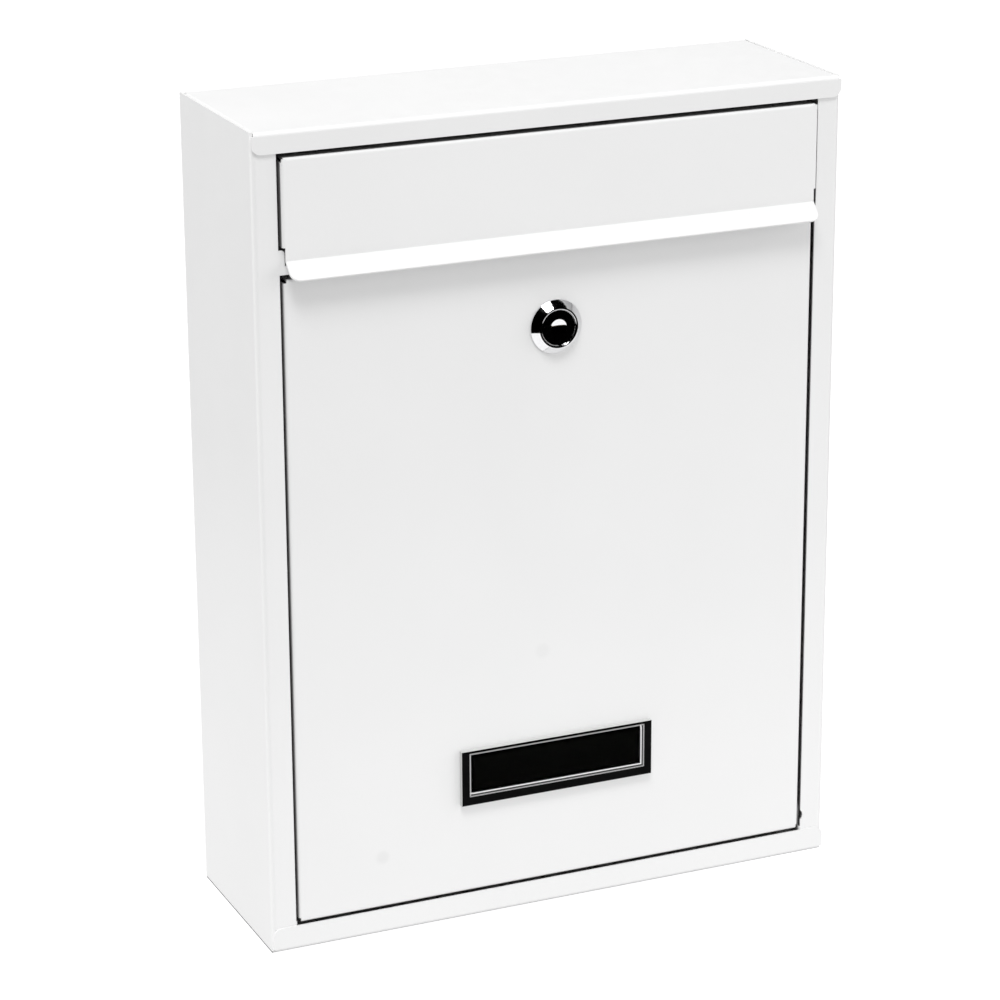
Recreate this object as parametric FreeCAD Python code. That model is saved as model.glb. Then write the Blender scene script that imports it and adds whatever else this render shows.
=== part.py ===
"""Wall mounted post box of folded sheet steel, with a slot flap, a locked door and a name plate.

Millimetres. The origin is the centre of the four wall holes on the back face, the front
faces -Y and +Z is up. Sheet parts are drawn along the middle of the sheet.
"""

import FreeCAD
import Part
import math
import os

Vector = FreeCAD.Vector

# Outer box
BODY_WIDTH = 230.5
BODY_HEIGHT = 310.0
BODY_DEPTH = 75.0
SHEET = 0.8

# Fold radii, on the middle of the sheet
CORNER_FOLD = 1.4
EDGE_FOLD = 1.2
TIGHT_FOLD = 0.8

# Front sheet
STILE_WIDTH = 9.4
TOP_LIP_HEIGHT = 7.8
SLOT_HEIGHT = 34.75
SLOT_SIDE_STEP = 0.3
RAIL_HEIGHT = 8.85
BOTTOM_LIP_HEIGHT = 9.4
LIP_OVERLAP = 3.0
LIP_CORNER_RADIUS = 3.5
LIP_EAR_DROP = 1.3
SILL_DEPTH = 14.8
NOTCH_WIDTH = 1.5
NOTCH_DEPTH = 5.6
LEFT_NOTCH_INSET = 2.3
NOTCH_CORNER = 1.1
KEEPER_HEIGHT = 7.9

# Back sheet
SIDE_FLANGE = 8.0
FOLD_RELIEF = 3.0
RELIEF_SLIT = 0.5
INSET_PLAY = 0.15
END_PLAY = 0.2
WALL_HOLE_DIAMETER = 6.0
WALL_HOLE_SPACING_X = 150.0
WALL_HOLE_SPACING_Z = 220.0

# Slot flap and its hinge
FLAP_SIDE_GAP = 0.9
FLAP_SHIFT = 0.3
FLAP_TOP_GAP = 1.7
FLAP_PROUD = 1.35
FLAP_FOLD = 0.7
FLAP_TOP_FLANGE = 6.5
FLAP_SIDE_FLANGE = 10.0
FLAP_FLANGE_ABOVE_RAIL = 1.1
FLAP_LIP_ABOVE_DOOR = 0.65
FLAP_LIP_REACH = 5.87
FLAP_LIP_CORNER = 3.5
FLAP_CORNER = 0.4
FLAP_PIVOT_DEPTH = 5.0
FLAP_PIVOT_DROP = 6.1
ROD_DIAMETER = 3.0
ROD_CHAMFER = 0.4
ROD_PLAY = 0.06
ROD_OVERHANG = 2.4
BRACKET_SETBACK = 0.8
BRACKET_FOOT = 6.4
BRACKET_REACH = 10.5
BRACKET_HEIGHT = 15.0
BRACKET_THICKNESS = 0.8
CLIP_GAP = 0.4
CLIP_THICKNESS = 1.3
CLIP_DIAMETER = 6.0
CLIP_CHAMFER = 0.4

# Door and its hinge
DOOR_SIDE_GAP = 1.15
DOOR_TOP_GAP = 1.8
DOOR_BOTTOM_GAP = 0.75
DOOR_FLANGE = 11.0
DOOR_NOTCH_WIDTH = 0.9
DOOR_NOTCH_HEIGHT = 1.7
DOOR_CORNER_SLIT = 0.2
DOOR_PIVOT_DEPTH = 4.0
DOOR_PIVOT_RISE = 5.4
EAR_THICKNESS_STEP = 0.8
EAR_NECK_HEIGHT = 1.35
EAR_SETBACK = 1.8
EAR_REACH = 9.0
EAR_RISE = 5.0
EAR_CORNER = 2.0
EAR_NOTCH_HEIGHT = 4.1
EAR_NOTCH_DEPTH = 0.9
PIN_DIAMETER = 3.0
PIN_PLAY = 0.06
PIN_HEAD_DIAMETER = 4.6
PIN_HEAD = 1.0
PIN_CHAMFER = 0.3
PIN_OVERHANG = 0.8

# Lock
LOCK_BELOW_RAIL = 30.8
BEZEL_DIAMETER = 20.2
BEZEL_PROUD = 3.0
BEZEL_RIM = 0.6
BEZEL_EDGE = 0.25
FACE_DIAMETER = 15.2
HEAD_DIAMETER = 13.6
HEAD_SUNK = 0.35
HEAD_THICKNESS = 1.7
BARREL_DIAMETER = 16.0
BARREL_LENGTH = 16.2
BARREL_FLATS = 13.6
PLUG_DIAMETER = 10.8
PLUG_PLAY = 0.08
PLUG_AIR = 0.3
KEYWAY_WIDTH = 5.8
KEYWAY_HEIGHT = 1.7
KEYWAY_DEPTH = 14.0
DISH_RADIUS = 7.4
DISH_DEPTH = 0.75
STUB_DIAMETER = 8.0
STUB_FLATS = 6.0
WAFER_COUNT = 5
WAFER_PITCH = 2.2
WAFER_START = 2.4
WAFER_THICKNESS = 0.6
WAFER_HEIGHT = 6.2
WAFER_WINDOW = 2.1
WAFER_PLAY = 0.05
SPRING_DIAMETER = 1.1
SPRING_WIRE = 0.2
SPRING_LENGTH = 3.0
SPRING_TURNS = 4
SPRING_STEPS = 8
SPRING_SEAT = 0.4
WASHER_DIAMETER = 22.0
WASHER_THICKNESS = 0.8
NUT_ACROSS_FLATS = 20.0
NUT_THICKNESS = 3.5
NUT_BEVEL = 0.9
CAM_THICKNESS = 2.0
CAM_HUB_RADIUS = 7.5
CAM_ARM_WIDTH = 11.0
CAM_CORNER = 2.5
CAM_OVER_KEEPER = 5.3
CAM_SCREW_DIAMETER = 3.0
CAM_SCREW_LENGTH = 6.0
CAM_SCREW_HEAD = 6.4
CAM_SCREW_HEAD_HEIGHT = 2.2
CAM_SCREW_CHAMFER = 0.7
CROSS_REACH = 1.8
CROSS_WIDTH = 0.8
CROSS_DEPTH = 1.2
CAM_WASHER_DIAMETER = 9.5
CAM_WASHER_THICKNESS = 0.7

# Name plate
PLATE_WIDTH = 78.7
PLATE_HEIGHT = 21.9
PLATE_BASE_LEVEL = 45.9
PLATE_THICKNESS = 2.4
PLATE_CHAMFER = 0.5
WINDOW_WIDTH = 72.8
WINDOW_HEIGHT = 17.9
WINDOW_RISE = 3.2
WINDOW_THICKNESS = 1.2
WINDOW_BEVEL_WIDTH = 1.5
WINDOW_BEVEL_DEPTH = 0.5
WINDOW_PLAY = 0.1
CARD_THICKNESS = 0.4
PEG_DIAMETER = 3.0
PEG_SPACING = 56.0
PEG_LENGTH = 3.6
PEG_ROOT = 0.4
PEG_CLIP_SIZE = 9.0
PEG_CLIP_THICKNESS = 0.6
PEG_CLIP_CORNER = 1.0
HOLE_PLAY = 0.15

# How far a cutting shape runs past the metal, and how near counts as the same place
PAST = 1.0
TINY = 1e-6

# Places worked out from the sizes above
TOP_Z = BODY_HEIGHT / 2
BASE_Z = -BODY_HEIGHT / 2
FRONT_Y = -BODY_DEPTH
HALF_SHEET = SHEET / 2
INNER_HALF = BODY_WIDTH / 2 - SHEET
OPEN_HALF = BODY_WIDTH / 2 - STILE_WIDTH
SLOT_HALF = OPEN_HALF + SLOT_SIDE_STEP
LIP_EDGE_Z = TOP_Z - TOP_LIP_HEIGHT
RAIL_TOP_Z = LIP_EDGE_Z - SLOT_HEIGHT
RAIL_LOW_Z = RAIL_TOP_Z - RAIL_HEIGHT
BOTTOM_LIP_Z = BASE_Z + BOTTOM_LIP_HEIGHT
FRONT_MID_Y = FRONT_Y + HALF_SHEET
CORNER_OUTER = CORNER_FOLD + HALF_SHEET
EDGE_INNER = EDGE_FOLD - HALF_SHEET
TIGHT_OUTER = TIGHT_FOLD + HALF_SHEET
FRONT_CUT = (FRONT_Y - PAST, FRONT_Y + SHEET + PAST)

FLAP_HALF = SLOT_HALF - FLAP_SIDE_GAP
FLAP_TOP_Z = LIP_EDGE_Z - FLAP_TOP_GAP
FLAP_FRONT_Y = FRONT_Y - FLAP_PROUD
FLAP_PIVOT_Y = FRONT_Y + FLAP_PIVOT_DEPTH
FLAP_PIVOT_Z = FLAP_TOP_Z - FLAP_PIVOT_DROP
BRACKET_X = OPEN_HALF + BRACKET_SETBACK
ROD_HALF = BRACKET_X + BRACKET_THICKNESS + ROD_OVERHANG
SILL_LEFT = -SLOT_HALF + LEFT_NOTCH_INSET + NOTCH_WIDTH
SILL_RIGHT = SLOT_HALF - NOTCH_WIDTH

DOOR_HALF = OPEN_HALF - DOOR_SIDE_GAP
DOOR_TOP_Z = RAIL_LOW_Z - DOOR_TOP_GAP
DOOR_LOW_Z = BOTTOM_LIP_Z + DOOR_BOTTOM_GAP
DOOR_PIVOT_Y = FRONT_Y + DOOR_PIVOT_DEPTH
DOOR_PIVOT_Z = DOOR_LOW_Z + DOOR_PIVOT_RISE
EAR_X = OPEN_HALF - EAR_THICKNESS_STEP

LOCK_Z = RAIL_LOW_Z - LOCK_BELOW_RAIL
CAM_FRONT_Y = FRONT_Y + BARREL_LENGTH + PLUG_AIR
CAM_LENGTH = LOCK_BELOW_RAIL + RAIL_HEIGHT - KEEPER_HEIGHT + CAM_OVER_KEEPER

PLATE_Z = BASE_Z + PLATE_BASE_LEVEL + PLATE_HEIGHT / 2
WINDOW_Z = BASE_Z + PLATE_BASE_LEVEL + WINDOW_RISE + WINDOW_HEIGHT / 2


def on_plane(plane, u, v, w):
    """A point at u, v on the named plane, w along the third axis."""
    if plane == "yz":
        return Vector(w, u, v)
    if plane == "xy":
        return Vector(u, v, w)
    return Vector(u, w, v)


def block(x_range, y_range, z_range):
    """A plain box between two values on each axis, in any order."""
    low = [min(pair) for pair in (x_range, y_range, z_range)]
    high = [max(pair) for pair in (x_range, y_range, z_range)]
    size = [b - a for a, b in zip(low, high)]
    return Part.makeBox(size[0], size[1], size[2], Vector(*low))


def bar(plane, u, v, radius, start, end):
    """A round bar that stands on the named plane at u, v."""
    base = on_plane(plane, u, v, start)
    axis = on_plane(plane, 0, 0, 1)
    return Part.makeCylinder(radius, end - start, base, axis)


def prism(plane, corners, start, end):
    """A straight-sided outline on the named plane, given depth."""
    points = [on_plane(plane, u, v, start) for u, v in corners]
    face = Part.Face(Part.makePolygon(points + points[:1]))
    return face.extrude(on_plane(plane, 0, 0, end - start))


def fused(shapes):
    """One solid from shapes that touch, with the seams between level faces taken out."""
    return shapes[0].fuse(shapes[1:]).removeSplitter().Solids[0]


def unit(vector):
    """The vector's direction, one long."""
    return Vector(vector).normalize()


def left_of(vector):
    """The unit vector a quarter turn to the left on the drawing plane."""
    flat = unit(vector)
    return Vector(-flat.y, flat.x, 0)


def offset_side(points, radius, offset):
    """Runs of two or three points, straight or round, beside the points at an offset."""
    ahead = [after - before for before, after in zip(points, points[1:])]
    runs = []
    last = points[0] + left_of(ahead[0]) * offset
    for corner, before, after in zip(points[1:], ahead, ahead[1:]):
        reach = radius * math.tan(before.getAngle(after) / 2)
        side = 1 if before.cross(after).z > 0 else -1
        centre = corner - unit(before) * reach + left_of(before) * side * radius
        arc_start = corner - unit(before) * reach + left_of(before) * offset
        arc_middle = centre + unit(corner - centre) * (radius - side * offset)
        arc_end = corner + unit(after) * reach + left_of(after) * offset
        runs.append([last, arc_start])
        runs.append([arc_start, arc_middle, arc_end])
        last = arc_end
    runs.append([last, points[-1] + left_of(ahead[-1]) * offset])
    return runs


def folded(plane, path, radius, start, end, thickness=SHEET):
    """A sheet folded along a path on the named plane, as wide as start to end."""
    points = [Vector(u, v, 0) for u, v in path]
    left = offset_side(points, radius, thickness / 2)
    right = offset_side(points, radius, -thickness / 2)
    end_cap = [left[-1][-1], right[-1][-1]]
    start_cap = [right[0][0], left[0][0]]
    edges = []
    for run in left + [end_cap] + right[::-1] + [start_cap]:
        placed = [on_plane(plane, point.x, point.y, start) for point in run]
        curve = Part.Arc(*placed) if len(placed) == 3 else Part.LineSegment(*placed)
        edges.append(curve.toShape())
    face = Part.Face(Part.Wire(edges))
    return face.extrude(on_plane(plane, 0, 0, end - start))


def round_corners(shape, radius, is_corner):
    """Round the edges whose middle point passes the test."""
    edges = [edge for edge in shape.Edges if is_corner(edge.CenterOfMass, edge.Length)]
    return shape.makeFillet(radius, edges)


def bevel_rims(shape, size, is_rim):
    """Bevel the round edges whose middle point passes the test."""
    edges = [edge for edge in shape.Edges if edge.isClosed() and is_rim(edge.CenterOfMass)]
    return shape.makeChamfer(size, edges)


def rounded_plate(plane, u_range, v_range, radius, start, end):
    """A plate with four round corners on the named plane."""
    corners = [(u_range[0], v_range[0]), (u_range[1], v_range[0]),
               (u_range[1], v_range[1]), (u_range[0], v_range[1])]
    plate = prism(plane, corners, start, end)
    direction = on_plane(plane, 0, 0, 1)
    edges = [edge for edge in plate.Edges
             if abs(abs(edge.tangentAt(edge.FirstParameter).dot(direction)) - 1) < TINY]
    return plate.makeFillet(radius, edges)


def mirrored(shape):
    """The same shape on the other side of the middle."""
    return shape.mirror(Vector(0, 0, 0), Vector(1, 0, 0))


def turned(profile, depth_zero, z):
    """A round piece about a line along Y; the profile is pairs of radius and depth."""
    points = [Vector(radius, depth_zero + depth, z) for radius, depth in profile]
    face = Part.Face(Part.makePolygon(points + points[:1]))
    return face.revolve(Vector(0, 0, z), Vector(0, 1, 0), 360)


def ring(outer, inner, start_y, end_y, z):
    """A flat ring about a line along Y."""
    return bar("xz", 0, z, outer, start_y, end_y).cut(bar("xz", 0, z, inner, start_y, end_y))


def hinge_ear():
    """The right-hand door ear: a neck folded in from the stile, flared round the pivot."""
    ear_mid = EAR_X + HALF_SHEET
    neck_low = BOTTOM_LIP_Z - LIP_OVERLAP + RELIEF_SLIT
    neck_top = BOTTOM_LIP_Z + EAR_NECK_HEIGHT
    path = [(OPEN_HALF + CORNER_OUTER, FRONT_MID_Y), (ear_mid, FRONT_MID_Y),
            (ear_mid, FRONT_Y + EAR_REACH)]
    neck = folded("xy", path, TIGHT_FOLD, neck_low, neck_top)
    flare_y = (FRONT_Y + EAR_SETBACK, FRONT_Y + EAR_REACH)
    flare = block((EAR_X, EAR_X + SHEET), flare_y, (neck_low, DOOR_PIVOT_Z + EAR_RISE))
    flare = round_corners(flare, EAR_CORNER, lambda middle, length:
                          abs(length - SHEET) < TINY and middle.z > DOOR_PIVOT_Z)
    pivot = bar("yz", DOOR_PIVOT_Y, DOOR_PIVOT_Z, PIN_DIAMETER / 2 + PIN_PLAY,
                EAR_X - PAST, EAR_X + SHEET + PAST)
    return fused([neck, flare]).cut(pivot)


def ear_notch():
    """The shallow round notch beside the pivot, in the edge of the right-hand stile."""
    half = EAR_NOTCH_HEIGHT / 2
    radius = (half ** 2 + EAR_NOTCH_DEPTH ** 2) / (2 * EAR_NOTCH_DEPTH)
    notch_x = OPEN_HALF + EAR_NOTCH_DEPTH - radius
    return bar("xz", notch_x, DOOR_PIVOT_Z, radius, *FRONT_CUT)


def front_openings():
    """What is cut from the front: the slot with the notches beside its sill, and the doorway."""
    slot = (-SLOT_HALF, SLOT_HALF)
    rail = (SILL_LEFT, SILL_RIGHT)
    notch_z = (RAIL_TOP_Z - NOTCH_DEPTH, RAIL_TOP_Z + PAST)
    return [block(slot, FRONT_CUT, (RAIL_TOP_Z, LIP_EDGE_Z + LIP_OVERLAP)),
            block(rail, FRONT_CUT, (RAIL_TOP_Z - TIGHT_OUTER, RAIL_TOP_Z + PAST)),
            block((SILL_LEFT - NOTCH_WIDTH, SILL_LEFT), FRONT_CUT, notch_z),
            block((SILL_RIGHT, SLOT_HALF), FRONT_CUT, notch_z),
            block((-OPEN_HALF, OPEN_HALF), FRONT_CUT, (BOTTOM_LIP_Z - LIP_OVERLAP, RAIL_LOW_Z)),
            ear_notch()]


def sill():
    """The sill folded in from the rail, with the downturned keeper for the lock's arm."""
    sill_z = RAIL_TOP_Z - HALF_SHEET
    keeper_y = FRONT_Y + SILL_DEPTH - HALF_SHEET
    path = [(FRONT_MID_Y, RAIL_LOW_Z + RELIEF_SLIT), (FRONT_MID_Y, sill_z),
            (keeper_y, sill_z), (keeper_y, RAIL_TOP_Z - KEEPER_HEIGHT)]
    return folded("yz", path, TIGHT_FOLD, SILL_LEFT, SILL_RIGHT)


def front_shell():
    """Front and both sides, folded from one sheet, with the rail, its sill and the ears."""
    side = BODY_WIDTH / 2 - HALF_SHEET
    path = [(-side, 0), (-side, FRONT_MID_Y), (side, FRONT_MID_Y), (side, 0)]
    sheet = folded("xy", path, CORNER_FOLD, BASE_Z, TOP_Z)
    end_depth = SHEET + EDGE_INNER + END_PLAY
    end_y = (FRONT_Y - PAST, FRONT_Y + CORNER_OUTER + END_PLAY)
    inner = (-INNER_HALF, INNER_HALF)
    ends = [block(inner, end_y, (TOP_Z - end_depth, TOP_Z + PAST)),
            block(inner, end_y, (BASE_Z - PAST, BASE_Z + end_depth))]
    sheet = sheet.cut(ends + front_openings())
    notch_x = SILL_LEFT - NOTCH_WIDTH
    sheet = round_corners(sheet, NOTCH_CORNER, lambda middle, length: abs(length - SHEET) < TINY
                          and abs(middle.x - notch_x) < TINY and abs(middle.z - RAIL_TOP_Z) < TINY)
    return fused([sheet, sill(), hinge_ear(), mirrored(hinge_ear())])


def front_lip(edge_z, ear_z):
    """A flat lip over the whole width, with round corners on its free edge."""
    lip = block((-BODY_WIDTH / 2, BODY_WIDTH / 2), (FRONT_Y - SHEET, FRONT_Y), (edge_z, ear_z))
    return round_corners(lip, LIP_CORNER_RADIUS, lambda middle, length:
                         abs(length - SHEET) < TINY and abs(middle.z - edge_z) < TINY)


def back_shell():
    """Top, back and bottom folded from one sheet, with front lips and side flanges."""
    lip_mid = FRONT_Y - HALF_SHEET
    top_mid = TOP_Z - HALF_SHEET
    short = SHEET + EDGE_FOLD + RELIEF_SLIT
    path = [(lip_mid, TOP_Z - short), (lip_mid, top_mid), (-HALF_SHEET, top_mid),
            (-HALF_SHEET, -top_mid), (lip_mid, -top_mid), (lip_mid, BASE_Z + short)]
    narrow = INNER_HALF - TIGHT_OUTER
    wide = INNER_HALF - INSET_PLAY
    pieces = [folded("yz", path, EDGE_FOLD, -narrow, narrow),
              front_lip(LIP_EDGE_Z, TOP_Z - LIP_EAR_DROP),
              front_lip(BOTTOM_LIP_Z, BASE_Z + LIP_EAR_DROP)]
    relief = FOLD_RELIEF - RELIEF_SLIT
    corner_z = TOP_Z - SIDE_FLANGE - RELIEF_SLIT
    for up in (1, -1):
        front_corner = [(lip_mid, up * (TOP_Z - short)), (lip_mid, up * top_mid),
                        (FRONT_Y + relief, up * top_mid)]
        back_corner = [(-relief, up * top_mid), (-HALF_SHEET, up * top_mid),
                       (-HALF_SHEET, up * corner_z)]
        pieces.append(folded("yz", front_corner, EDGE_FOLD, -wide, wide))
        pieces.append(folded("yz", back_corner, EDGE_FOLD, -wide, wide))
    flange_x = INNER_HALF - HALF_SHEET
    inside = flange_x - SIDE_FLANGE
    for side in (1, -1):
        for up in (1, -1):
            level_path = [(side * inside, up * top_mid), (side * flange_x, up * top_mid),
                          (side * flange_x, up * (TOP_Z - SIDE_FLANGE))]
            pieces.append(folded("xz", level_path, TIGHT_FOLD, FRONT_Y + FOLD_RELIEF, -FOLD_RELIEF))
        upright_path = [(side * inside, -HALF_SHEET), (side * flange_x, -HALF_SHEET),
                        (side * flange_x, -SIDE_FLANGE)]
        flange_end = corner_z - RELIEF_SLIT
        pieces.append(folded("xy", upright_path, TIGHT_FOLD, -flange_end, flange_end))
    holes = [bar("xz", x * WALL_HOLE_SPACING_X / 2, z * WALL_HOLE_SPACING_Z / 2,
                 WALL_HOLE_DIAMETER / 2, -SHEET - PAST, PAST) for x in (-1, 1) for z in (-1, 1)]
    return fused(pieces).cut(holes)


def slot_flap():
    """The flap: a folded panel with a top flange, side flanges and a slanted pull lip."""
    face_mid = FLAP_FRONT_Y + HALF_SHEET
    fold_outer = FLAP_FOLD + HALF_SHEET
    half_width = FLAP_HALF - fold_outer
    tip_z = DOOR_TOP_Z + FLAP_LIP_ABOVE_DOOR + HALF_SHEET * math.sqrt(0.5)
    bend_z = tip_z + FLAP_LIP_REACH
    path = [(face_mid + FLAP_TOP_FLANGE, FLAP_TOP_Z - HALF_SHEET),
            (face_mid, FLAP_TOP_Z - HALF_SHEET), (face_mid, bend_z),
            (face_mid - FLAP_LIP_REACH, tip_z)]
    panel = folded("yz", path, FLAP_FOLD, -half_width, half_width)
    panel = round_corners(panel, FLAP_LIP_CORNER, lambda middle, length:
                          abs(length - SHEET) < TINY and middle.z < tip_z + 1)
    flange_x = FLAP_HALF - HALF_SHEET
    side_path = [(flange_x - FLAP_SIDE_FLANGE, face_mid), (flange_x, face_mid),
                 (flange_x, face_mid + FLAP_SIDE_FLANGE)]
    flange = folded("xy", side_path, FLAP_FOLD, RAIL_TOP_Z + FLAP_FLANGE_ABOVE_RAIL,
                    FLAP_TOP_Z - fold_outer - RELIEF_SLIT)
    corner = block((half_width - PAST, FLAP_HALF - FLAP_CORNER), (FLAP_FRONT_Y, FLAP_FRONT_Y + SHEET),
                   (FLAP_TOP_Z - 2 * fold_outer, FLAP_TOP_Z - FLAP_CORNER))
    rod_hole = bar("yz", FLAP_PIVOT_Y, FLAP_PIVOT_Z, ROD_DIAMETER / 2, -ROD_HALF, ROD_HALF)
    flap = fused([panel, flange, mirrored(flange), corner, mirrored(corner)]).cut(rod_hole)
    flap.translate(Vector(FLAP_SHIFT, 0, 0))
    return flap


def flap_bracket():
    """The right-hand bracket: a foot on the back of the stile and an arm for the rod."""
    half = BRACKET_THICKNESS / 2
    foot_y = FRONT_Y + SHEET + half
    arm_x = BRACKET_X + half
    path = [(BRACKET_X + BRACKET_FOOT, foot_y), (arm_x, foot_y), (arm_x, FRONT_Y + BRACKET_REACH)]
    low = FLAP_PIVOT_Z - BRACKET_HEIGHT / 2
    bracket = folded("xy", path, TIGHT_FOLD, low, low + BRACKET_HEIGHT, BRACKET_THICKNESS)
    hole = bar("yz", FLAP_PIVOT_Y, FLAP_PIVOT_Z, ROD_DIAMETER / 2 + ROD_PLAY,
               BRACKET_X - PAST, BRACKET_X + BRACKET_THICKNESS + PAST)
    return bracket.cut(hole)


def flap_hinge_rod():
    """A straight round rod through both flap flanges and both brackets."""
    rod = bar("yz", FLAP_PIVOT_Y, FLAP_PIVOT_Z, ROD_DIAMETER / 2, -ROD_HALF, ROD_HALF)
    return bevel_rims(rod, ROD_CHAMFER, lambda middle: abs(abs(middle.x) - ROD_HALF) < TINY)


def rod_clips():
    """Two push-on caps that keep the rod between the brackets."""
    inner = BRACKET_X + BRACKET_THICKNESS + CLIP_GAP
    outer = inner + CLIP_THICKNESS
    cap = bar("yz", FLAP_PIVOT_Y, FLAP_PIVOT_Z, CLIP_DIAMETER / 2, inner, outer)
    cap = bevel_rims(cap, CLIP_CHAMFER, lambda middle: abs(middle.x - outer) < TINY)
    cap = cap.cut(bar("yz", FLAP_PIVOT_Y, FLAP_PIVOT_Z, ROD_DIAMETER / 2, inner - PAST, outer + PAST))
    return Part.makeCompound([cap, mirrored(cap)])


def lock_hole():
    """The hole for the lock: round with two upright flats."""
    flat = BARREL_FLATS / 2 + HOLE_PLAY
    round_hole = bar("xz", 0, LOCK_Z, BARREL_DIAMETER / 2 + HOLE_PLAY, *FRONT_CUT)
    band = block((-flat, flat), FRONT_CUT, (LOCK_Z - BARREL_DIAMETER, LOCK_Z + BARREL_DIAMETER))
    return round_hole.common(band)


def door_panel():
    """The door: a shallow pan with four flanges, open slits at its corners."""
    face_mid = FRONT_MID_Y
    back = FRONT_Y + DOOR_FLANGE
    inset = TIGHT_OUTER
    face = block((-DOOR_HALF + inset, DOOR_HALF - inset), (FRONT_Y, FRONT_Y + SHEET),
                 (DOOR_LOW_Z + inset, DOOR_TOP_Z - inset))
    slit = inset + DOOR_CORNER_SLIT
    notch_z = DOOR_LOW_Z + DOOR_NOTCH_HEIGHT
    top_path = [(face_mid, DOOR_TOP_Z - FOLD_RELIEF), (face_mid, DOOR_TOP_Z - HALF_SHEET),
                (back, DOOR_TOP_Z - HALF_SHEET)]
    low_path = [(face_mid, notch_z), (face_mid, DOOR_LOW_Z + HALF_SHEET), (back, DOOR_LOW_Z + HALF_SHEET)]
    top_half = DOOR_HALF - slit
    low_half = DOOR_HALF - DOOR_NOTCH_WIDTH
    top = folded("yz", top_path, TIGHT_FOLD, -top_half, top_half)
    low = folded("yz", low_path, TIGHT_FOLD, -low_half, low_half)
    flange_x = DOOR_HALF - HALF_SHEET
    side_path = [(DOOR_HALF - FOLD_RELIEF, face_mid), (flange_x, face_mid), (flange_x, back)]
    side = folded("xy", side_path, TIGHT_FOLD, notch_z, DOOR_TOP_Z - slit)
    pivot = bar("yz", DOOR_PIVOT_Y, DOOR_PIVOT_Z, PIN_DIAMETER / 2, -OPEN_HALF, OPEN_HALF)
    peg_holes = [bar("xz", x * PEG_SPACING / 2, PLATE_Z, PEG_DIAMETER / 2 + HOLE_PLAY, *FRONT_CUT)
                 for x in (-1, 1)]
    return fused([face, top, low, side, mirrored(side)]).cut([pivot, lock_hole()] + peg_holes)


def door_hinge_pin():
    """The right-hand pin: a head inside the door and a shank out through the ear."""
    head_start = DOOR_HALF - SHEET - PIN_HEAD
    shank_end = OPEN_HALF + PIN_OVERHANG
    shank = bar("yz", DOOR_PIVOT_Y, DOOR_PIVOT_Z, PIN_DIAMETER / 2, head_start, shank_end)
    head = bar("yz", DOOR_PIVOT_Y, DOOR_PIVOT_Z, PIN_HEAD_DIAMETER / 2, head_start, head_start + PIN_HEAD)
    return bevel_rims(fused([shank, head]), PIN_CHAMFER, lambda middle: abs(middle.x - head_start) < TINY)


def lock_housing():
    """Bezel with a slanted ring, and a barrel with two flats behind the door."""
    bezel = BEZEL_DIAMETER / 2
    barrel = BARREL_DIAMETER / 2
    face = FACE_DIAMETER / 2
    recess = HEAD_DIAMETER / 2 + PLUG_PLAY
    bore = PLUG_DIAMETER / 2 + PLUG_PLAY
    seat = -BEZEL_PROUD + HEAD_SUNK + HEAD_THICKNESS + PLUG_PLAY
    profile = [(recess, -BEZEL_PROUD), (face, -BEZEL_PROUD), (bezel, -BEZEL_RIM), (bezel, 0),
               (barrel, 0), (barrel, BARREL_LENGTH), (bore, BARREL_LENGTH), (bore, seat),
               (recess, seat)]
    housing = turned(profile, FRONT_Y, LOCK_Z)
    housing = round_corners(housing, BEZEL_EDGE, lambda middle, length:
                            middle.y < FRONT_Y - BEZEL_PROUD + TINY)
    flat = BARREL_FLATS / 2
    behind = (FRONT_Y, FRONT_Y + BARREL_LENGTH + PAST)
    tall = (LOCK_Z - BARREL_DIAMETER, LOCK_Z + BARREL_DIAMETER)
    cuts = [block((side * flat, side * BARREL_DIAMETER), behind, tall) for side in (-1, 1)]
    return housing.cut(cuts)


def wafer_y(index):
    """The front face of a wafer, counted from the front."""
    return FRONT_Y + WAFER_START + index * WAFER_PITCH


def spring_z():
    """The line of the springs, between the wafer's window and its edge."""
    return LOCK_Z + (WAFER_WINDOW + WAFER_HEIGHT) / 4


def spring_seat(index):
    """The room for one spring, cut from the plug and the wafer alike."""
    middle_y = wafer_y(index) + WAFER_THICKNESS / 2
    radius = SPRING_DIAMETER / 2 + SPRING_WIRE / 2 + WAFER_PLAY
    return bar("yz", middle_y, spring_z(), radius, SPRING_SEAT - WAFER_PLAY,
               SPRING_SEAT + SPRING_LENGTH + WAFER_PLAY)


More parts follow.
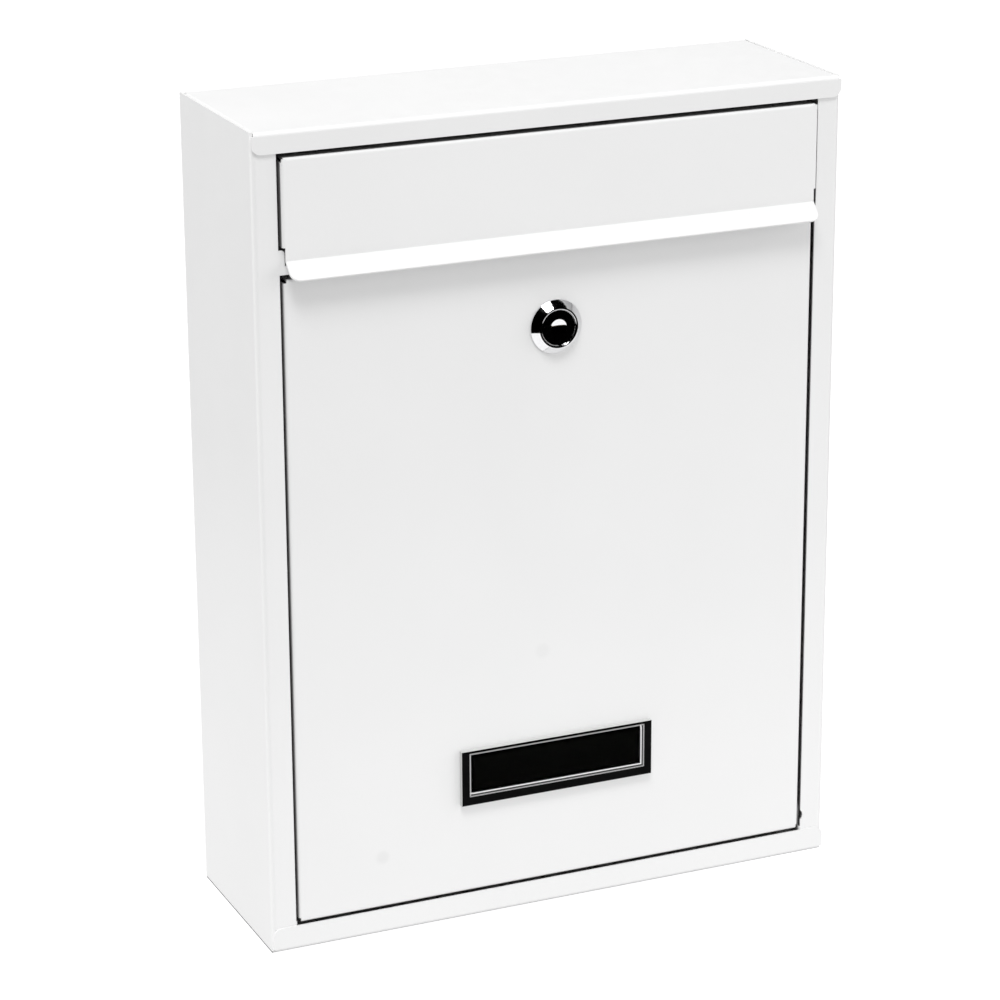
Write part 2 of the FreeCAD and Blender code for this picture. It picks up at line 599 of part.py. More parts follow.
def lock_plug():
    """The turning core: a wide face, a slotted body and a stub with flats for the cam."""
    head = HEAD_DIAMETER / 2
    body = PLUG_DIAMETER / 2
    stub = STUB_DIAMETER / 2
    face_depth = -BEZEL_PROUD + HEAD_SUNK
    shoulder = BARREL_LENGTH + PLUG_AIR
    profile = [(0, face_depth), (head, face_depth), (head, face_depth + HEAD_THICKNESS),
               (body, face_depth + HEAD_THICKNESS), (body, shoulder), (stub, shoulder),
               (stub, shoulder + CAM_THICKNESS), (0, shoulder + CAM_THICKNESS)]
    plug = turned(profile, FRONT_Y, LOCK_Z)
    head_rim = 2 * math.pi * head
    plug = round_corners(plug, BEZEL_EDGE, lambda middle, length:
                         middle.y < FRONT_Y + face_depth + TINY and abs(length - head_rim) < TINY)
    dish = Part.makeSphere(DISH_RADIUS, Vector(0, FRONT_Y + face_depth + DISH_DEPTH - DISH_RADIUS, LOCK_Z))
    key = block((-KEYWAY_WIDTH / 2, KEYWAY_WIDTH / 2),
                (FRONT_Y + face_depth - PAST, FRONT_Y + KEYWAY_DEPTH),
                (LOCK_Z - KEYWAY_HEIGHT / 2, LOCK_Z + KEYWAY_HEIGHT / 2))
    half = WAFER_HEIGHT / 2 + WAFER_PLAY
    slots = [block((-body - PAST, body + PAST), (wafer_y(i) - WAFER_PLAY,
                   wafer_y(i) + WAFER_THICKNESS + WAFER_PLAY), (LOCK_Z - half, LOCK_Z + half))
             for i in range(WAFER_COUNT)]
    seats = [spring_seat(i) for i in range(WAFER_COUNT)]
    flats = [block((-stub, stub), (CAM_FRONT_Y, CAM_FRONT_Y + CAM_THICKNESS + PAST),
                   (LOCK_Z + side * STUB_FLATS / 2, LOCK_Z + side * stub)) for side in (-1, 1)]
    end_y = CAM_FRONT_Y + CAM_THICKNESS
    screw_hole = bar("xz", 0, LOCK_Z, CAM_SCREW_DIAMETER / 2,
                     end_y + CAM_WASHER_THICKNESS - CAM_SCREW_LENGTH, end_y + PAST)
    return plug.cut([dish, key] + slots + seats + flats + [screw_hole])


def lock_wafers():
    """Thin wafers that slide across the plug, each with a window and a spring seat."""
    wafers = []
    for i in range(WAFER_COUNT):
        start = wafer_y(i)
        end = start + WAFER_THICKNESS
        disc = bar("xz", 0, LOCK_Z, PLUG_DIAMETER / 2, start, end)
        band = block((-PLUG_DIAMETER, PLUG_DIAMETER), (start, end),
                     (LOCK_Z - WAFER_HEIGHT / 2, LOCK_Z + WAFER_HEIGHT / 2))
        window = block((-KEYWAY_WIDTH / 2, KEYWAY_WIDTH / 2), (start, end),
                       (LOCK_Z - WAFER_WINDOW / 2, LOCK_Z + WAFER_WINDOW / 2))
        wafers.append(disc.common(band).cut([window, spring_seat(i)]))
    return Part.makeCompound(wafers)


def wafer_springs():
    """Small coil springs, one beside each wafer's window."""
    radius = SPRING_DIAMETER / 2
    steps = SPRING_TURNS * SPRING_STEPS
    advance = (SPRING_LENGTH - SPRING_WIRE) / steps
    start = SPRING_SEAT + SPRING_WIRE / 2
    points = []
    for step in range(steps + 1):
        angle = 2 * math.pi * step / SPRING_STEPS
        points.append(Vector(start + step * advance, radius * math.cos(angle), radius * math.sin(angle)))
    half = SPRING_WIRE / 2
    section = Part.makePolygon([Vector(start, radius + side, up) for side, up in
                                ((-half, 0), (0, -half), (half, 0), (0, half), (-half, 0))])
    section.rotate(points[0], Vector(0, 1, 0), 90)
    right_corners = 1
    coil = Part.makePolygon(points).makePipeShell([section], True, False, right_corners)
    springs = []
    for i in range(WAFER_COUNT):
        spring = coil.copy()
        spring.translate(Vector(0, wafer_y(i) + WAFER_THICKNESS / 2, spring_z()))
        springs.append(spring)
    return Part.makeCompound(springs)


def lock_washer():
    """The flat washer between the door and the nut."""
    start = FRONT_Y + SHEET
    hole = BARREL_DIAMETER / 2 + HOLE_PLAY
    return ring(WASHER_DIAMETER / 2, hole, start, start + WASHER_THICKNESS, LOCK_Z)


def lock_nut():
    """The hexagon nut that holds the lock in the door."""
    start = FRONT_Y + SHEET + WASHER_THICKNESS
    end = start + NUT_THICKNESS
    flat = NUT_ACROSS_FLATS / 2
    point = NUT_ACROSS_FLATS / math.sqrt(3)
    turns = [math.radians(60 * i) for i in range(6)]
    corners = [(point * math.cos(turn), LOCK_Z + point * math.sin(turn)) for turn in turns]
    bevel = turned([(0, 0), (flat, 0), (point, NUT_BEVEL), (point, NUT_THICKNESS - NUT_BEVEL),
                    (flat, NUT_THICKNESS), (0, NUT_THICKNESS)], start, LOCK_Z)
    bore = bar("xz", 0, LOCK_Z, BARREL_DIAMETER / 2, start - PAST, end + PAST)
    return prism("xz", corners, start, end).common(bevel).cut(bore)


def stub_hole(end_y):
    """The round hole with two flats that fits the plug's stub."""
    hole = bar("xz", 0, LOCK_Z, STUB_DIAMETER / 2, CAM_FRONT_Y - PAST, end_y + PAST)
    band = block((-STUB_DIAMETER, STUB_DIAMETER), (CAM_FRONT_Y - PAST, end_y + PAST),
                 (LOCK_Z - STUB_FLATS / 2, LOCK_Z + STUB_FLATS / 2))
    return hole.common(band)


def lock_cam():
    """The locking arm, turned sideways as it is when the door is free."""
    end_y = CAM_FRONT_Y + CAM_THICKNESS
    hub = bar("xz", 0, LOCK_Z, CAM_HUB_RADIUS, CAM_FRONT_Y, end_y)
    half = CAM_ARM_WIDTH / 2
    arm = rounded_plate("xz", (-CAM_LENGTH, half), (LOCK_Z - half, LOCK_Z + half), CAM_CORNER,
                        CAM_FRONT_Y, end_y)
    return fused([hub, arm]).cut(stub_hole(end_y))


def cam_washer():
    """The small washer under the head of the cam's screw."""
    start = CAM_FRONT_Y + CAM_THICKNESS
    end = start + CAM_WASHER_THICKNESS
    return ring(CAM_WASHER_DIAMETER / 2, CAM_SCREW_DIAMETER / 2, start, end, LOCK_Z)


def cam_screw():
    """The pan-headed screw that holds the cam, with a cross recess."""
    seat = CAM_FRONT_Y + CAM_THICKNESS + CAM_WASHER_THICKNESS
    shank = bar("xz", 0, LOCK_Z, CAM_SCREW_DIAMETER / 2, seat - CAM_SCREW_LENGTH, seat)
    head_end = seat + CAM_SCREW_HEAD_HEIGHT
    head = bar("xz", 0, LOCK_Z, CAM_SCREW_HEAD / 2, seat, head_end)
    head = bevel_rims(head, CAM_SCREW_CHAMFER, lambda middle: abs(middle.y - head_end) < TINY)
    half = CROSS_WIDTH / 2
    deep = (head_end - CROSS_DEPTH, head_end + PAST)
    recess = [block((-CROSS_REACH, CROSS_REACH), deep, (LOCK_Z - half, LOCK_Z + half)),
              block((-half, half), deep, (LOCK_Z - CROSS_REACH, LOCK_Z + CROSS_REACH))]
    return fused([shank, head]).cut(recess)


def bevel_face(shape, size, y):
    """Bevel the edges of the flat face at y."""
    return shape.makeChamfer(size, [edge for edge in shape.Edges if abs(edge.CenterOfMass.y - y) < TINY])


def name_holder():
    """The black frame of the name plate, with a pocket in front and two pegs behind."""
    half = PLATE_WIDTH / 2
    front = FRONT_Y - PLATE_THICKNESS
    body = block((-half, half), (front, FRONT_Y), (PLATE_Z - PLATE_HEIGHT / 2, PLATE_Z + PLATE_HEIGHT / 2))
    body = bevel_face(body, PLATE_CHAMFER, front)
    pocket = block((-WINDOW_WIDTH / 2, WINDOW_WIDTH / 2),
                   (front - PAST, front + WINDOW_THICKNESS + CARD_THICKNESS),
                   (WINDOW_Z - WINDOW_HEIGHT / 2, WINDOW_Z + WINDOW_HEIGHT / 2))
    pegs = [bar("xz", x * PEG_SPACING / 2, PLATE_Z, PEG_DIAMETER / 2,
                FRONT_Y - PEG_ROOT, FRONT_Y + PEG_LENGTH) for x in (-1, 1)]
    return fused([body.cut(pocket)] + pegs)


def name_card():
    """The dark card that lies on the floor of the pocket."""
    back = FRONT_Y - PLATE_THICKNESS + WINDOW_THICKNESS + CARD_THICKNESS
    return block((-WINDOW_WIDTH / 2 + WINDOW_PLAY, WINDOW_WIDTH / 2 - WINDOW_PLAY),
                 (back - CARD_THICKNESS, back),
                 (WINDOW_Z - WINDOW_HEIGHT / 2 + WINDOW_PLAY, WINDOW_Z + WINDOW_HEIGHT / 2 - WINDOW_PLAY))


def name_window():
    """The clear window over the card, bevelled along its front edges."""
    front = FRONT_Y - PLATE_THICKNESS
    outlines = []
    for inset, y in ((WINDOW_BEVEL_WIDTH, front), (0, front + WINDOW_BEVEL_DEPTH),
                     (0, front + WINDOW_THICKNESS)):
        half = WINDOW_WIDTH / 2 - WINDOW_PLAY - inset
        rise = WINDOW_HEIGHT / 2 - WINDOW_PLAY - inset
        outlines.append(Part.makePolygon([Vector(x, y, WINDOW_Z + z) for x, z in
                        ((-half, -rise), (half, -rise), (half, rise), (-half, rise), (-half, -rise))]))
    return Part.makeLoft(outlines, True, True)


def peg_clips():
    """Two square spring clips pushed over the pegs inside the door."""
    start = FRONT_Y + SHEET
    end = start + PEG_CLIP_THICKNESS
    half = PEG_CLIP_SIZE / 2
    clips = []
    for x in (-PEG_SPACING / 2, PEG_SPACING / 2):
        clip = rounded_plate("xz", (x - half, x + half), (PLATE_Z - half, PLATE_Z + half),
                             PEG_CLIP_CORNER, start, end)
        clips.append(clip.cut(bar("xz", x, PLATE_Z, PEG_DIAMETER / 2, start - PAST, end + PAST)))
    return Part.makeCompound(clips)


NODES = {
    "front_shell": front_shell,
    "back_shell": back_shell,
    "flap_bracket_right": flap_bracket,
    "flap_bracket_left": lambda: mirrored(flap_bracket()),
    "slot_flap": slot_flap,
    "flap_hinge_rod": flap_hinge_rod,
    "rod_clips": rod_clips,
    "door_panel": door_panel,
    "door_hinge_pin_right": door_hinge_pin,
    "door_hinge_pin_left": lambda: mirrored(door_hinge_pin()),
    "lock_housing": lock_housing,
    "lock_washer": lock_washer,
    "lock_nut": lock_nut,
    "lock_plug": lock_plug,
    "lock_wafers": lock_wafers,
    "wafer_springs": wafer_springs,
    "lock_cam": lock_cam,
    "cam_washer": cam_washer,
    "cam_screw": cam_screw,
    "name_holder": name_holder,
    "name_card": name_card,
    "name_window": name_window,
    "peg_clips": peg_clips,
}

os.makedirs("parts", exist_ok=True)
for name, make in NODES.items():
    shape = make()
    shape.exportStep("parts/" + name + ".step")
    box = shape.BoundBox
    print(f"{name}: {len(shape.Solids)} solid, {shape.Volume:.0f} mm3, valid {shape.isValid()}, "
          f"{box.XLength:.1f} x {box.YLength:.1f} x {box.ZLength:.1f}")
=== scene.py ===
"""Wall mounted post box of white powder-coated sheet steel, dressed for the studio.

Metres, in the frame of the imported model: the origin is the centre of the wall holes on the
back face, the front faces -Y and +Z is up.
"""
import bpy
import math
from mathutils import Matrix, Vector


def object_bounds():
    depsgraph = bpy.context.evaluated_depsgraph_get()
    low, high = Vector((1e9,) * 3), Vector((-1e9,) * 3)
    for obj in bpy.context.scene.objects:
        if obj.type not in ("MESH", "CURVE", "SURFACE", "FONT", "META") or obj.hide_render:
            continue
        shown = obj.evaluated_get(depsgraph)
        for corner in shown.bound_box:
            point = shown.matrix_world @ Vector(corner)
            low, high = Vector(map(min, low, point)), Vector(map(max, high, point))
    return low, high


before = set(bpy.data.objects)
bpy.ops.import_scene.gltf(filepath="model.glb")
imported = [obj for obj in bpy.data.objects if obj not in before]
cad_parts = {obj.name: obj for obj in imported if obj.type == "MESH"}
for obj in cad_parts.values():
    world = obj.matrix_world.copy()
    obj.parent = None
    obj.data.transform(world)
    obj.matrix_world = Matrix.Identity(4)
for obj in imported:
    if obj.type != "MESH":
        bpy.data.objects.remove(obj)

MM = 0.001
CAD_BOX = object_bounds()
BOX_LOW, BOX_HIGH = CAD_BOX

# Camera, from the photograph's perspective
CAMERA_AT = Vector((-514.31, -1199.95, 423.57)) * MM
CAMERA_LOOKS_AT = Vector((-22.41, -75.0, 9.33)) * MM
CAMERA_ROLL = math.radians(0.303)
CAMERA_NEAR = 0.05
CAMERA_FAR = 200.0
FOCAL_PIXELS = 3537.9
PICTURE_PIXELS = 1000
SENSOR_WIDTH = 36.0

# The coat's grey outside: the darkest and the lightest of its clouds
SHELL_TONE = (0.858, 0.874)
# The flap's coat is painted lighter than the shell's, painted light for its lip, and the door's a
# little darker, painted shade.
FLAP_TONE_PAINTED_LIGHT = (0.878, 0.892)
DOOR_TONE_PAINTED_SHADE = (0.854, 0.870)

# The box inside the part whose coat is painted grey as shade, so the gaps into it look dark; the
# fade at its edge and its grey
INSIDE_X = 113.9 * MM
INSIDE_Z = 153.6 * MM
INSIDE_BACK = -0.3 * MM
SHEET_INSIDE = -74.8 * MM
FLAP_INSIDE = -75.7 * MM
INSIDE_SHADE_FADE = 0.6 * MM
PAINTED_INSIDE_SHADE_TONE = (0.25, 0.28)

# Faint smudges on the door: centre, radius and strength, and the share of the radius that is even
SMUDGES = (
    (Vector((-5.35, -75.0, -52.5)) * MM, 4.0 * MM, 0.055),
    (Vector((-70.95, -75.0, -124.6)) * MM, 3.6 * MM, 0.085),
)
SMUDGE_COLOUR = (0.30, 0.30, 0.30, 1)
SMUDGE_CORE = 0.35

# The name plate's outline, and how thick its pale sides look from the front
PLATE_X = 39.35 * MM
PLATE_LOW, PLATE_HIGH = -109.1 * MM, -87.2 * MM
SIDE_SKIN = 0.04 * MM
SIDE_COLOUR = (0.62, 0.63, 0.62, 1)

# The clear sheet's outline and the highlight lines painted along its edges: pairs of distance
# from the edge and grey
SHEET_X = 36.3 * MM
SHEET_LOW, SHEET_HIGH = -105.8 * MM, -88.1 * MM
EDGE_HIGHLIGHT_REACH = 4.0 * MM
PLAIN_EDGE_HIGHLIGHT = ((0.0, 0.6), (0.55 * MM, 0.0))
DOUBLE_EDGE_HIGHLIGHT = ((0.0, 0.6), (0.55 * MM, 0.07), (1.35 * MM, 0.85), (1.9 * MM, 0.0))
EDGE_HIGHLIGHT_ENDS = 0.01
CLEAR_COLOUR = (0.97, 0.98, 0.98, 1)
CLEAR_IOR = 1.10

# The sockets of a colour Mix node
MIX_FACTOR, MIX_FIRST, MIX_SECOND, MIX_RESULT = 0, 6, 7, 2

OPEN = (None, None)
WHITE = (1, 1, 1, 1)


def material(name):
    """A new node material with its Principled shader, its nodes and its links."""
    made = bpy.data.materials.new(name)
    made.use_nodes = True
    nodes = made.node_tree.nodes
    return made, nodes["Principled BSDF"], nodes, made.node_tree.links


def feed(links, value, socket):
    """Links a socket to another one, or gives it a value of its own."""
    if isinstance(value, bpy.types.NodeSocket):
        links.new(value, socket)
    else:
        socket.default_value = value


def object_coordinates(nodes):
    """The part's own coordinates."""
    return nodes.new("ShaderNodeTexCoord").outputs["Object"]


def noise(nodes, links, vector, scale, detail):
    """A noise texture; in the part's own coordinates, scale is in cycles per metre."""
    texture = nodes.new("ShaderNodeTexNoise")
    texture.inputs["Scale"].default_value = scale
    texture.inputs["Detail"].default_value = detail
    links.new(vector, texture.inputs["Vector"])
    return texture.outputs["Fac"]


def ramp(nodes, links, value, start, end, first, last):
    """Blends between two colours as a value goes from start to end."""
    blend = nodes.new("ShaderNodeValToRGB")
    stops = zip(blend.color_ramp.elements, (start, end), (first, last))
    for stop, position, colour in stops:
        stop.position = position
        stop.color = (*colour, 1)
    links.new(value, blend.inputs["Fac"])
    return blend.outputs["Color"]


def grey_ramp(nodes, links, value, start, end, tone):
    """Blends between two greys as a value goes from start to end."""
    darkest, lightest = tone
    return ramp(nodes, links, value, start, end, (darkest,) * 3, (lightest,) * 3)


def rescale(nodes, links, value, start=0.0, end=1.0, low=0.0, high=1.0, curve="LINEAR"):
    """Maps a value from start..end to low..high, and holds it level beyond them."""
    scaled = nodes.new("ShaderNodeMapRange")
    scaled.interpolation_type = curve
    scaled.inputs["From Min"].default_value = start
    scaled.inputs["From Max"].default_value = end
    scaled.inputs["To Min"].default_value = low
    scaled.inputs["To Max"].default_value = high
    links.new(value, scaled.inputs["Value"])
    return scaled.outputs["Result"]


def mix(nodes, links, factor, first, second, blend="MIX"):
    """Blends two colours, each a colour or a socket, by a factor."""
    node = nodes.new("ShaderNodeMix")
    node.data_type = "RGBA"
    node.blend_type = blend
    feed(links, factor, node.inputs[MIX_FACTOR])
    feed(links, first, node.inputs[MIX_FIRST])
    feed(links, second, node.inputs[MIX_SECOND])
    return node.outputs[MIX_RESULT]


def bump(nodes, links, height, depth, strength, below=None):
    """A bump of the given depth, laid over another one if there is one."""
    node = nodes.new("ShaderNodeBump")
    node.inputs["Distance"].default_value = depth
    node.inputs["Strength"].default_value = strength
    links.new(height, node.inputs["Height"])
    if below:
        links.new(below, node.inputs["Normal"])
    return node.outputs["Normal"]


def math_node(nodes, links, operation, first, second):
    """One sum of two values, each a number or a socket."""
    node = nodes.new("ShaderNodeMath")
    node.operation = operation
    feed(links, first, node.inputs[0])
    feed(links, second, node.inputs[1])
    return node.outputs[0]


def depth_inside(nodes, links, place, *limits):
    """How deep a point lies between the limits along X, Y and Z, negative beyond them."""
    parts = nodes.new("ShaderNodeSeparateXYZ")
    links.new(place, parts.inputs[0])
    gaps = []
    for part, (start, end) in zip(parts.outputs, limits):
        if start is not None:
            gaps.append(math_node(nodes, links, "SUBTRACT", part, start))
        if end is not None:
            gaps.append(math_node(nodes, links, "SUBTRACT", end, part))
    depth = gaps[0]
    for gap in gaps[1:]:
        depth = math_node(nodes, links, "MINIMUM", depth, gap)
    return depth


def smudged(nodes, links, place, colour, centre, radius, strength):
    """A colour with one faint round smudge on it."""
    offset = nodes.new("ShaderNodeVectorMath")
    offset.operation = "DISTANCE"
    offset.inputs[1].default_value = centre
    links.new(place, offset.inputs[0])
    fade = rescale(nodes, links, offset.outputs["Value"], start=SMUDGE_CORE * radius, end=radius,
                   low=strength, high=0.0, curve="SMOOTHSTEP")
    return mix(nodes, links, fade, colour, SMUDGE_COLOUR)


def powder_coat(name, tone, inside_front, smudges=()):
    """Semi-gloss white powder coat with an orange peel, painted grey inside the part as shade."""
    made, shader, nodes, links = material(name)
    place = object_coordinates(nodes)
    clouds = noise(nodes, links, place, scale=14.0, detail=3.0)
    outside = grey_ramp(nodes, links, clouds, 0.35, 0.7, tone)
    # Painted shade: the inside of the part is grey, so the gaps into it look dark.
    inside = grey_ramp(nodes, links, clouds, 0.35, 0.7, PAINTED_INSIDE_SHADE_TONE)
    depth = depth_inside(nodes, links, place, (-INSIDE_X, INSIDE_X),
                         (inside_front, INSIDE_BACK), (-INSIDE_Z, INSIDE_Z))
    colour = mix(nodes, links, rescale(nodes, links, depth, end=INSIDE_SHADE_FADE), outside, inside)
    for smudge in smudges:
        colour = smudged(nodes, links, place, colour, *smudge)
    links.new(colour, shader.inputs["Base Color"])
    mottle = noise(nodes, links, place, scale=160.0, detail=2.0)
    links.new(rescale(nodes, links, mottle, low=0.34, high=0.44), shader.inputs["Roughness"])
    peel = noise(nodes, links, place, scale=620.0, detail=1.0)
    grain = noise(nodes, links, place, scale=2600.0, detail=2.0)
    fine = bump(nodes, links, grain, depth=0.02 * MM, strength=0.25)
    links.new(bump(nodes, links, peel, depth=0.06 * MM, strength=0.35, below=fine),
              shader.inputs["Normal"])
    return made


def polished_chrome(name):
    """Chrome plate with hairline polishing marks and a trace of haze."""
    made, shader, nodes, links = material(name)
    place = object_coordinates(nodes)
    haze = noise(nodes, links, place, scale=900.0, detail=3.0)
    links.new(ramp(nodes, links, haze, 0.3, 0.75, (0.80, 0.80, 0.81), (0.848, 0.848, 0.8586)),
              shader.inputs["Base Color"])
    links.new(rescale(nodes, links, haze, low=0.035, high=0.10), shader.inputs["Roughness"])
    marks = noise(nodes, links, place, scale=5200.0, detail=1.0)
    links.new(bump(nodes, links, marks, depth=0.004 * MM, strength=0.2), shader.inputs["Normal"])
    shader.inputs["Metallic"].default_value = 1.0
    return made


def zinc_plate(name):
    """Bright zinc on steel: cloudy grey with a brushed grain along X."""
    made, shader, nodes, links = material(name)
    place = object_coordinates(nodes)
    clouds = noise(nodes, links, place, scale=240.0, detail=5.0)
    links.new(ramp(nodes, links, clouds, 0.3, 0.7, (0.55, 0.56, 0.57), (0.74, 0.74, 0.73)),
              shader.inputs["Base Color"])
    stretch = nodes.new("ShaderNodeMapping")
    stretch.inputs["Scale"].default_value = (60.0, 1800.0, 1800.0)
    links.new(place, stretch.inputs["Vector"])
    grain = noise(nodes, links, stretch.outputs["Vector"], scale=1.0, detail=2.0)
    links.new(rescale(nodes, links, grain, low=0.22, high=0.42), shader.inputs["Roughness"])
    links.new(bump(nodes, links, grain, depth=0.01 * MM, strength=0.3), shader.inputs["Normal"])
    shader.inputs["Metallic"].default_value = 1.0
    return made


def stamped_brass(name):
    """Yellow brass with dull patches."""
    made, shader, nodes, links = material(name)
    place = object_coordinates(nodes)
    clouds = noise(nodes, links, place, scale=1500.0, detail=4.0)
    links.new(ramp(nodes, links, clouds, 0.3, 0.7, (0.58, 0.42, 0.16), (0.78, 0.60, 0.28)),
              shader.inputs["Base Color"])
    links.new(rescale(nodes, links, clouds, low=0.25, high=0.5), shader.inputs["Roughness"])
    shader.inputs["Metallic"].default_value = 1.0
    return made


def black_moulding(name, smoothest, roughest, pale_sides=False):
    """Black plastic or card: near-black with a faint mottle; its sides can be left pale."""
    made, shader, nodes, links = material(name)
    place = object_coordinates(nodes)
    mottle = noise(nodes, links, place, scale=420.0, detail=3.0)
    colour = grey_ramp(nodes, links, mottle, 0.3, 0.7, (0.002, 0.004))
    if pale_sides:
        from_side = depth_inside(nodes, links, place, (-PLATE_X, PLATE_X), OPEN,
                                 (PLATE_LOW, PLATE_HIGH))
        black = rescale(nodes, links, from_side, start=SIDE_SKIN, end=2 * SIDE_SKIN)
        colour = mix(nodes, links, black, SIDE_COLOUR, colour)
    links.new(colour, shader.inputs["Base Color"])
    shader.inputs["Specular IOR Level"].default_value = 0.02
    links.new(rescale(nodes, links, mottle, low=smoothest, high=roughest),
              shader.inputs["Roughness"])
    skin = noise(nodes, links, place, scale=3000.0, detail=2.0)
    links.new(bump(nodes, links, skin, depth=0.01 * MM, strength=0.15), shader.inputs["Normal"])
    return made


def edge_lines(nodes, links, distance, stops):
    """Grey steps over a distance from an edge, up to EDGE_HIGHLIGHT_REACH."""
    steps = nodes.new("ShaderNodeValToRGB")
    steps.color_ramp.interpolation = "CONSTANT"
    elements = steps.color_ramp.elements
    for index, (start, grey) in enumerate(stops):
        position = start / EDGE_HIGHLIGHT_REACH
        stop = elements[index] if index < 2 else elements.new(position)
        stop.position = position
        stop.color = (grey, grey, grey, 1)
    links.new(math_node(nodes, links, "DIVIDE", distance, EDGE_HIGHLIGHT_REACH), steps.inputs["Fac"])
    return steps.outputs["Color"]


def clear_sheet(name):
    """Clear plastic with faint swirls in its gloss, and bright lines painted along its edges as
    highlights.
    """
    made, shader, nodes, links = material(name)
    place = object_coordinates(nodes)
    swirl = noise(nodes, links, place, scale=300.0, detail=3.0)
    links.new(rescale(nodes, links, swirl, low=0.02, high=0.07), shader.inputs["Roughness"])
    left_top = depth_inside(nodes, links, place, (-SHEET_X, None), OPEN, (None, SHEET_HIGH))
    right_low = depth_inside(nodes, links, place, (None, SHEET_X), OPEN, (SHEET_LOW, None))
    # Painted highlights: opaque grey and bright lines along the sheet's edges stand in for the
    # light its edges catch.
    painted_edge_highlights = mix(nodes, links, 1.0, edge_lines(nodes, links, left_top, PLAIN_EDGE_HIGHLIGHT),
                edge_lines(nodes, links, right_low, DOUBLE_EDGE_HIGHLIGHT), blend="LIGHTEN")
    clear = math_node(nodes, links, "LESS_THAN", painted_edge_highlights, EDGE_HIGHLIGHT_ENDS)
    links.new(clear, shader.inputs["Transmission Weight"])
    links.new(mix(nodes, links, clear, painted_edge_highlights, CLEAR_COLOUR), shader.inputs["Base Color"])
    shader.inputs["IOR"].default_value = CLEAR_IOR
    return made


def dress(made, *names):
    """Gives CAD nodes a material."""
    for name in names:
        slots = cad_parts[name].data.materials
        slots.clear()
        slots.append(made)


dress(powder_coat("white_powder_coat", SHELL_TONE, SHEET_INSIDE),
      "front_shell", "back_shell", "flap_bracket_left", "flap_bracket_right")
# The flap and the door get a lighter and a darker copy of the coat: painted light and painted
# shade.
dress(powder_coat("white_powder_coat_flap", FLAP_TONE_PAINTED_LIGHT, FLAP_INSIDE), "slot_flap")
dress(powder_coat("white_powder_coat_door", DOOR_TONE_PAINTED_SHADE, SHEET_INSIDE, SMUDGES), "door_panel")
dress(polished_chrome("lock_chrome"), "lock_housing", "lock_plug")
dress(zinc_plate("zinc_plated_steel"), "flap_hinge_rod", "rod_clips", "door_hinge_pin_left",
      "door_hinge_pin_right", "lock_washer", "lock_nut", "wafer_springs", "lock_cam",
      "cam_washer", "cam_screw", "peg_clips")
dress(stamped_brass("wafer_brass"), "lock_wafers")
dress(black_moulding("black_gloss_plastic", 0.06, 0.14, pale_sides=True), "name_holder")
dress(black_moulding("black_card", 0.35, 0.5), "name_card")
dress(clear_sheet("clear_plastic"), "name_window")


# The studio. The camera sees a pale floor that lies low enough for the open door, and a dark card
# just under the box, a painted contact shadow that draws the thin line along its base. The part
# itself sees neither: it is lit from below by a white table of limited size, right under the box.
FLOOR_Z = BOX_LOW[2] - 32.0 * MM
FLOOR_HALF = 60.0
FLOOR_TONE = 0.3
FLOOR_GLOW = 0.85
TABLE_Z = BOX_LOW[2] - 0.4 * MM
SHADE_Z = TABLE_Z + 0.02 * MM
SHADE_FRONT = -74.0 * MM
SHADE_TONE = 0.03
TABLE_LIGHT_Z = TABLE_Z + 0.05 * MM
TABLE_HALF = 0.42
TABLE_FRONT = -0.50
TABLE_BACK = 0.45
BOX_LEFT = BOX_LOW[0] - 0.5 * MM
BOX_FRONT = -76.0 * MM

# The table's mirror image lies on the floor's level, and is larger, so the lock sees it as large
GLEAM_Z = FLOOR_Z + 0.1 * MM
GLEAM_HALF = 0.478
GLEAM_FRONT = -0.558
GLEAM_BACK = 0.523

# Light from all round, and the soft boxes: name, place, target, size, watts, shows in chrome
WORLD_LIGHT = 0.535
SOFT_BOXES = (
    ("key", (-0.512, -1.285, 2.522), (0.0, -0.075, 0.05), (1.24, 0.855), 40.0, True),
    ("overhead", (0.0, 0.7, 2.0), (0.0, 0.7, 0.0), (1.5, 1.3), 12.8, False),
    ("left", (-2.0, 0.75, 0.5), (0.0, 0.0, 0.0), (1.6, 1.6), 20.3, False),
    ("right", (1.4, -0.9, 0.45), (0.0, 0.0, 0.0), (1.2, 1.2), 8.2, False),
)


def look(at, target):
    """The placement of a camera or light at one point that looks at another."""
    turn = (Vector(target) - Vector(at)).to_track_quat("-Z", "Y").to_matrix().to_4x4()
    return Matrix.Translation(at) @ turn


def add_camera():
    """The photograph's camera."""
    data = bpy.data.cameras.new("camera")
    data.sensor_width = SENSOR_WIDTH
    data.lens = FOCAL_PIXELS / PICTURE_PIXELS * SENSOR_WIDTH
    data.clip_start = CAMERA_NEAR
    data.clip_end = CAMERA_FAR
    camera = bpy.data.objects.new("camera", data)
    camera.matrix_world = look(CAMERA_AT, CAMERA_LOOKS_AT) @ Matrix.Rotation(-CAMERA_ROLL, 4, "Z")
    bpy.context.collection.objects.link(camera)
    bpy.context.scene.camera = camera


def stage_material(name, tone, glow):
    """A matt grey stage paint that can glow."""
    made, shader = material(name)[:2]
    shader.inputs["Base Color"].default_value = (tone, tone, tone, 1)
    shader.inputs["Roughness"].default_value = 0.9
    shader.inputs["Specular IOR Level"].default_value = 0.0
    shader.inputs["Emission Color"].default_value = WHITE
    shader.inputs["Emission Strength"].default_value = glow
    return made


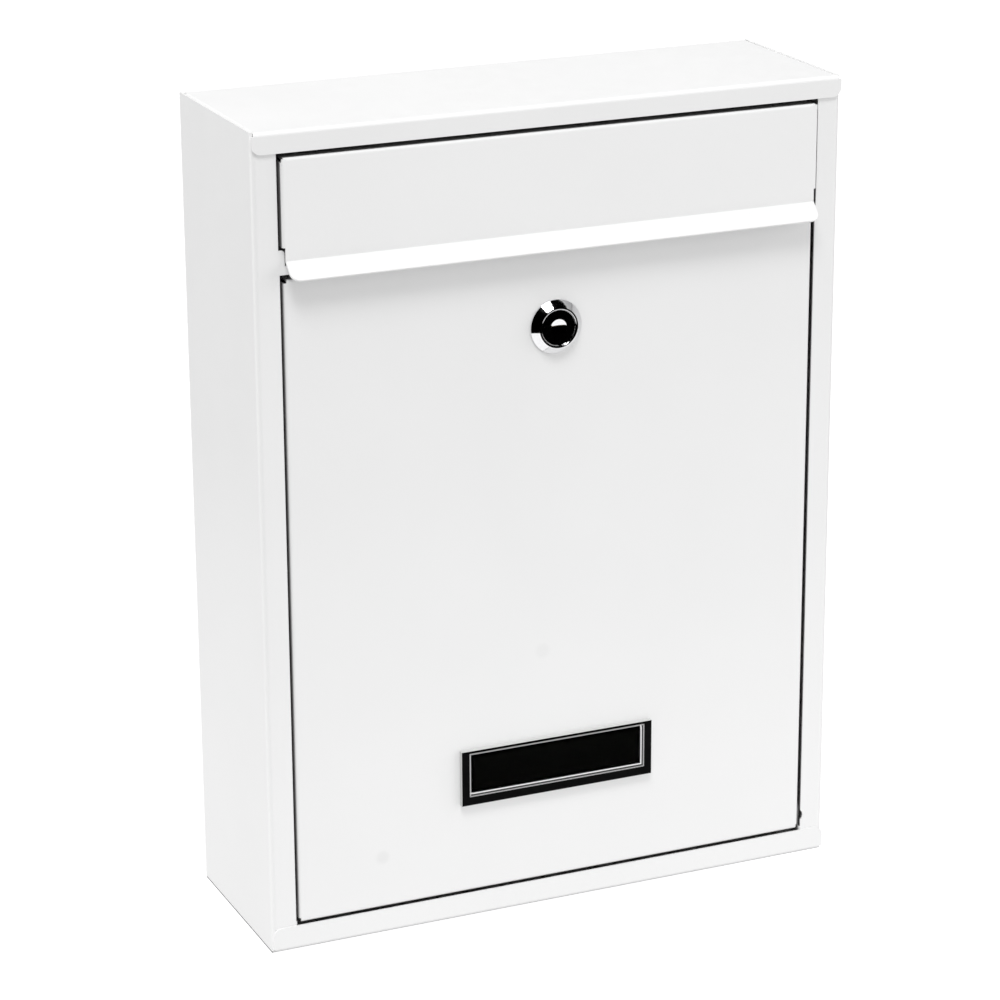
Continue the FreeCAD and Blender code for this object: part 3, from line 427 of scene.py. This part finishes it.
def add_card(name, low, high, level, made, seen_by_camera):
    """A flat stage piece on one level, seen by the camera alone or by gloss and metal alone."""
    (x0, y0), (x1, y1) = low, high
    mesh = bpy.data.meshes.new(name)
    mesh.from_pydata([(x0, y0, level), (x1, y0, level), (x1, y1, level), (x0, y1, level)], [],
                     [(0, 1, 2, 3)])
    mesh.materials.append(made)
    card = bpy.data.objects.new(name, mesh)
    bpy.context.collection.objects.link(card)
    card.visible_camera = seen_by_camera
    card.visible_glossy = not seen_by_camera
    card.visible_diffuse = False
    card.visible_shadow = False


def add_floor():
    """The plain pale floor, and the dark card under the box, a painted contact shadow."""
    add_card("floor", (-FLOOR_HALF, -FLOOR_HALF), (FLOOR_HALF, FLOOR_HALF), FLOOR_Z,
             stage_material("floor_white", FLOOR_TONE, FLOOR_GLOW), True)
    # Painted shadow: a dark card where the shade along the box's base falls.
    add_card("painted_contact_shadow", (BOX_LOW[0], SHADE_FRONT), (BOX_HIGH[0], 0.0), SHADE_Z,
             stage_material("floor_shaded", SHADE_TONE, 0.0), True)


def add_gleam(name, low, high, glow):
    """A patch of the table as gloss and polished metal see it."""
    add_card(name, low, high, GLEAM_Z, stage_material(name, 0.0, glow), False)


def add_area(name, at, target, size, power, mirrored):
    """A soft box; only the mirrored ones show in gloss and polished metal."""
    data = bpy.data.lights.new(name, "AREA")
    data.shape = "RECTANGLE"
    data.size, data.size_y = size
    data.energy = power
    light = bpy.data.objects.new(name, data)
    light.matrix_world = look(at, target)
    light.visible_glossy = mirrored
    light.visible_camera = False
    bpy.context.collection.objects.link(light)


def add_table_light(name, low, high, glow):
    """The diffuse light that a patch of the table throws up."""
    (x0, y0), (x1, y1) = low, high
    width, depth = x1 - x0, y1 - y0
    x, y = (x0 + x1) / 2, (y0 + y1) / 2
    add_area(name, (x, y, TABLE_LIGHT_Z), (x, y, 1.0), (width, depth),
             glow * math.pi * width * depth, False)


def add_world():
    """Even light from all round that gloss and metal don't see."""
    world = bpy.data.worlds.new("studio")
    world.use_nodes = True
    background = world.node_tree.nodes["Background"]
    background.inputs["Color"].default_value = WHITE
    background.inputs["Strength"].default_value = WORLD_LIGHT
    bpy.context.scene.world = world
    world.cycles_visibility.glossy = False


bpy.context.scene.view_settings.view_transform = "Standard"
add_camera()
add_floor()
add_world()
for soft_box in SOFT_BOXES:
    add_area(*soft_box)
add_table_light("table_light_front", (-TABLE_HALF, TABLE_FRONT), (TABLE_HALF, BOX_FRONT), 0.41)
add_table_light("table_light_left", (-TABLE_HALF, BOX_FRONT), (BOX_LEFT, TABLE_BACK), 0.32)
add_gleam("table_gleam_front", (-GLEAM_HALF, GLEAM_FRONT), (GLEAM_HALF, BOX_FRONT), 1.15)
add_gleam("table_gleam_back", (-GLEAM_HALF, BOX_FRONT), (GLEAM_HALF, GLEAM_BACK), 0.45)
